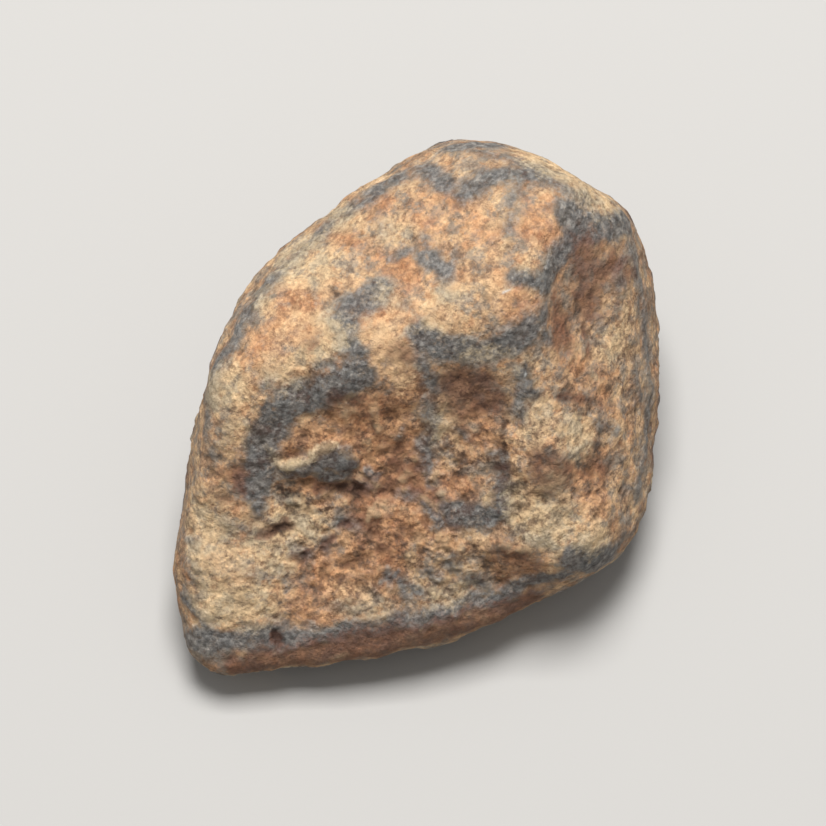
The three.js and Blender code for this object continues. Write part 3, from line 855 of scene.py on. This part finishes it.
@dataclass
class Stone:
    """The stone itself, one piece.

    Attributes:
        node: Name of the solid that it dresses.
        cuts: Cuts across each edge of that solid's triangles.
        smoothing: Rounds of smoothing after the cuts.
        relief: Sizes of its relief.
        finish: Colours of its skin.
        view: Where its marks are drawn from.
        chance: How far chance shifts its marks.
        hidden_levels: How squarely a side is seen where chance begins to stain it and where it does so fully.
        lift_levels: Strengths of a mark where its lift begins and where it is full.
        edge: Distance over which a mark's strength falls off, in millimetres.
        thin_edge: How far past half its width a thin mark's strength falls off at most, in millimetres.
        seed: Seed of the chance that frays the marks.
    """

    node: str = "stone"
    cuts: int = 3
    smoothing: int = 10
    relief: Relief = Relief()
    finish: StoneFinish = StoneFinish()
    view: Viewpoint = Viewpoint()
    chance: Wander = Wander()
    hidden_levels: Levels = (0.2, -0.15)
    lift_levels: Levels = (0.15, 0.75)
    edge: float = 0.6
    thin_edge: float = 0.1
    seed: int = 11

    def build(self) -> bpy.types.Object:
        """Makes the stone, from its plain form to its finished skin.

        Returns:
            The finished piece.
        """
        noise.seed_set(self.seed)
        piece = self.refine()
        places, normals = self.measure(piece)
        stains, lifts = self.draw_marks(piece, places, normals)
        heights = self.heights(places, stains, lifts)
        self.raise_relief(piece, places, normals, heights)
        self.keep(piece, "height", np.clip(heights / self.relief.full_height, -1.0, 1.0))
        for stain, strength in stains.items():
            self.keep(piece, stain.value, strength)
        piece.data.materials.clear()
        piece.data.materials.append(Skin(self.finish).material())
        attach(piece, "root")
        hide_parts(self.node)
        return piece

    def refine(self) -> bpy.types.Object:
        """Copies the solid and cuts its skin finely enough to carry the relief.

        Returns:
            The copy, smooth and without relief.
        """
        bpy.ops.object.select_all(action="DESELECT")
        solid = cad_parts[self.node]
        piece = bpy.data.objects.new("meteorite_stone", solid.data.copy())
        bpy.context.scene.collection.objects.link(piece)
        piece.select_set(True)
        bpy.context.view_layer.objects.active = piece
        bpy.ops.object.mode_set(mode="EDIT")
        bpy.ops.mesh.select_all(action="SELECT")
        bpy.ops.mesh.remove_doubles(threshold=0.001 * MM)
        bpy.ops.mesh.customdata_custom_splitnormals_clear()
        bpy.ops.mesh.subdivide(number_cuts=self.cuts)
        bpy.ops.mesh.vertices_smooth(factor=0.5, repeat=self.smoothing)
        bpy.ops.object.mode_set(mode="OBJECT")
        bpy.ops.object.shade_smooth()
        return piece

    def measure(self, piece: bpy.types.Object) -> tuple[np.ndarray, np.ndarray]:
        """Reads a piece's points and normals.

        Args:
            piece: The piece.

        Returns:
            Its points in millimetres, and its unit normals, one row each.
        """
        count = len(piece.data.vertices)
        places = np.empty(count * 3, np.float32)
        normals = np.empty(count * 3, np.float32)
        piece.data.vertices.foreach_get("co", places)
        piece.data.vertex_normals.foreach_get("vector", normals)
        return places.reshape(-1, 3) / MM, normals.reshape(-1, 3)

    def draw_marks(
        self, piece: bpy.types.Object, places: np.ndarray, normals: np.ndarray
    ) -> tuple[dict[Stain, np.ndarray], np.ndarray]:
        """Finds how strongly each stain lies on each point, and how far its strokes lift the point.

        Args:
            piece: The stone.
            places: Its points, in millimetres.
            normals: Its normals.

        Returns:
            The strength of each stain at each point, and the lift of each point in millimetres.
        """
        tree = BVHTree.FromObject(piece, bpy.context.evaluated_depsgraph_get())
        hidden = ease(*self.hidden_levels, normals @ np.array(self.view.back))
        stains = {stain: hidden * self.wild_stain(stain, places) for stain in Stain}
        lifts = np.zeros(len(places))
        places = self.wander(places)
        for mark in MARKS:
            path = [tree.ray_cast(self.view.eye, self.view.sight(point))[0] for point in mark.path]
            path = [np.array(point) / MM for point in path if point is not None]
            if len(path) > 1:
                cover = self.stroke(places, path, mark.width)
                stains[mark.stain] = np.maximum(stains[mark.stain], mark.strength * cover)
                lifts += mark.lift * ease(*self.lift_levels, cover)
        return stains, lifts

    def wander(self, places: np.ndarray) -> np.ndarray:
        """Shifts points a little by chance, so that strokes over them turn ragged.

        Args:
            places: The points, in millimetres.

        Returns:
            The shifted points.
        """
        sizes = self.chance
        coarse = np.array([noise.noise_vector(Vector(p) / sizes.coarse_size) for p in places])
        fine = np.array([noise.noise_vector(Vector(p) / sizes.fine_size) for p in places])
        return places + sizes.coarse_shift * coarse + sizes.fine_shift * fine

    def stroke(self, places: np.ndarray, path: list[np.ndarray], width: float) -> np.ndarray:
        """Finds how strongly one stroke covers each point.

        Args:
            places: The points, in millimetres.
            path: The stroke's path over the stone.
            width: The stroke's width.

        Returns:
            1 well inside the stroke, a half on its edge and 0 well outside.
        """
        nearest = np.full(len(places), np.inf)
        for start, end in zip(path, path[1:]):
            run = end - start
            share = np.clip((places - start) @ run / max(run @ run, TINY), 0.0, 1.0)
            gap = np.linalg.norm(places - start - share[:, None] * run, axis=1)
            nearest = np.minimum(nearest, gap)
        edge = min(self.edge, width / 2 + self.thin_edge)
        return np.clip((width / 2 + edge - nearest) / (2 * edge), 0.0, 1.0)

    def wild_stain(self, stain: Stain, places: np.ndarray) -> np.ndarray:
        """Spreads a stain by chance over the sides that no mark reaches.

        Args:
            stain: Which stain.
            places: The points, in millimetres.

        Returns:
            The stain's strength at each point.
        """
        if stain not in WILD_STAINS:
            return np.zeros(len(places))
        wild = WILD_STAINS[stain]
        steps = list(Stain).index(stain) + 1
        spread = clouds(places, wild.size, 0.9, 3, tuple(step * steps for step in WILD_SHIFT))
        return ease(wild.level + WILD_START, wild.level + WILD_END, spread)

    def heights(self, places: np.ndarray, stains: dict[Stain, np.ndarray], lifts: np.ndarray) -> np.ndarray:
        """Works out the relief at each point.

        Args:
            places: The points, in millimetres.
            stains: The strength of each stain at each point.
            lifts: How far the strokes alone lift each point.

        Returns:
            How far each point is raised, in millimetres.
        """
        sizes = self.relief
        shift = Vector(sizes.patch_shift)
        swell = clouds(places, sizes.swell_size, 0.8, 4)
        grit = clouds(places, sizes.grit_size, 0.9, 2)
        crumbs = clouds(places, sizes.crumb_size, 0.8, 3)
        pits = np.array([noise.voronoi(Vector(p) / sizes.pit_size)[0][0] for p in places])
        patchy = np.array([noise.noise(Vector(p) / sizes.patch_size + shift) for p in places])
        raised = lifts + sizes.swell_height * swell + sizes.grit_height * grit
        raised -= sizes.pit_depth * ease(*sizes.pit_levels, pits) * ease(*sizes.patch_levels, patchy)
        raised += sizes.crumb_height * crumbs * stains[Stain.BROKEN]
        raised += sizes.crust_height * ease(*sizes.crust_levels, stains[Stain.CRUST])
        return raised * ease(sizes.fade_low, sizes.fade_high, places[:, 2])

    def raise_relief(
        self, piece: bpy.types.Object, places: np.ndarray, normals: np.ndarray, heights: np.ndarray
    ) -> None:
        """Moves each point out by its height, and none below the floor.

        Args:
            piece: The stone.
            places: Its points, in millimetres.
            normals: Its normals.
            heights: How far each point moves.
        """
        moved = places + normals * heights[:, None]
        moved[:, 2] = np.maximum(moved[:, 2], 0.0)
        piece.data.vertices.foreach_set("co", (moved * MM).astype(np.float32).ravel())
        piece.data.update()

    def keep(self, piece: bpy.types.Object, name: str, values: np.ndarray) -> None:
        """Stores one value at each point of the stone under a name."""
        attribute = piece.data.attributes.new(name, "FLOAT", "POINT")
        attribute.data.foreach_set("value", values.astype(np.float32))


@dataclass(frozen=True)
class Studio:
    """The plain floor and the soft light.

    Attributes:
        floor_width: Width of the floor, in millimetres.
        floor_colour: Colour of the floor.
        floor_roughness: Roughness of the floor.
        key_power: Power of the main light, in watts.
        key_width: Width of the main light, in millimetres.
        key_place: Place of the main light, in millimetres.
        fill: Brightness of the light from all round.
        fill_colour: Colour of the light from all round.
    """

    floor_width: float = 1600.0
    floor_colour: Colour = paint(164, 162, 159)
    floor_roughness: float = 0.9
    key_power: float = 3.5
    key_width: float = 190.0
    key_place: Place = (101.0, 85.0, 430.0)
    fill: float = 0.42
    fill_colour: Colour = (1.0, 0.99, 0.97, 1.0)

    def build(self) -> None:
        """Adds the floor, the main light and the light from all round."""
        bpy.ops.object.select_all(action="DESELECT")
        bpy.ops.mesh.primitive_plane_add(size=self.floor_width * MM)
        floor = bpy.context.object
        floor.name = "pale_floor"
        material = bpy.data.materials.new("pale_floor")
        material.use_nodes = True
        shader = material.node_tree.nodes["Principled BSDF"]
        shader.inputs["Base Color"].default_value = self.floor_colour
        shader.inputs["Roughness"].default_value = self.floor_roughness
        floor.data.materials.append(material)
        place = Vector(self.key_place) * MM
        bpy.ops.object.light_add(type="AREA", location=place)
        key = bpy.context.object
        key.rotation_euler = (-place).to_track_quat("-Z", "Y").to_euler()
        key.data.energy = self.key_power
        key.data.size = self.key_width * MM
        world = bpy.data.worlds.new("soft_studio")
        world.use_nodes = True
        sky = world.node_tree.nodes["Background"]
        sky.inputs["Color"].default_value = self.fill_colour
        sky.inputs["Strength"].default_value = self.fill
        bpy.context.scene.world = world
        bpy.context.scene.view_settings.view_transform = "Standard"


def main() -> None:
    """Builds the stone, the studio and the camera in turn."""
    logging.basicConfig(level=logging.INFO, format="%(name)s: %(message)s")
    stone = Stone().build()
    LOG.info("%s has %d faces", stone.name, len(stone.data.polygons))
    Studio().build()
    LOG.info("the floor and the light are set")
    Viewpoint().add_camera()
    LOG.info("the camera is set")


if __name__ == "__main__":
    main()
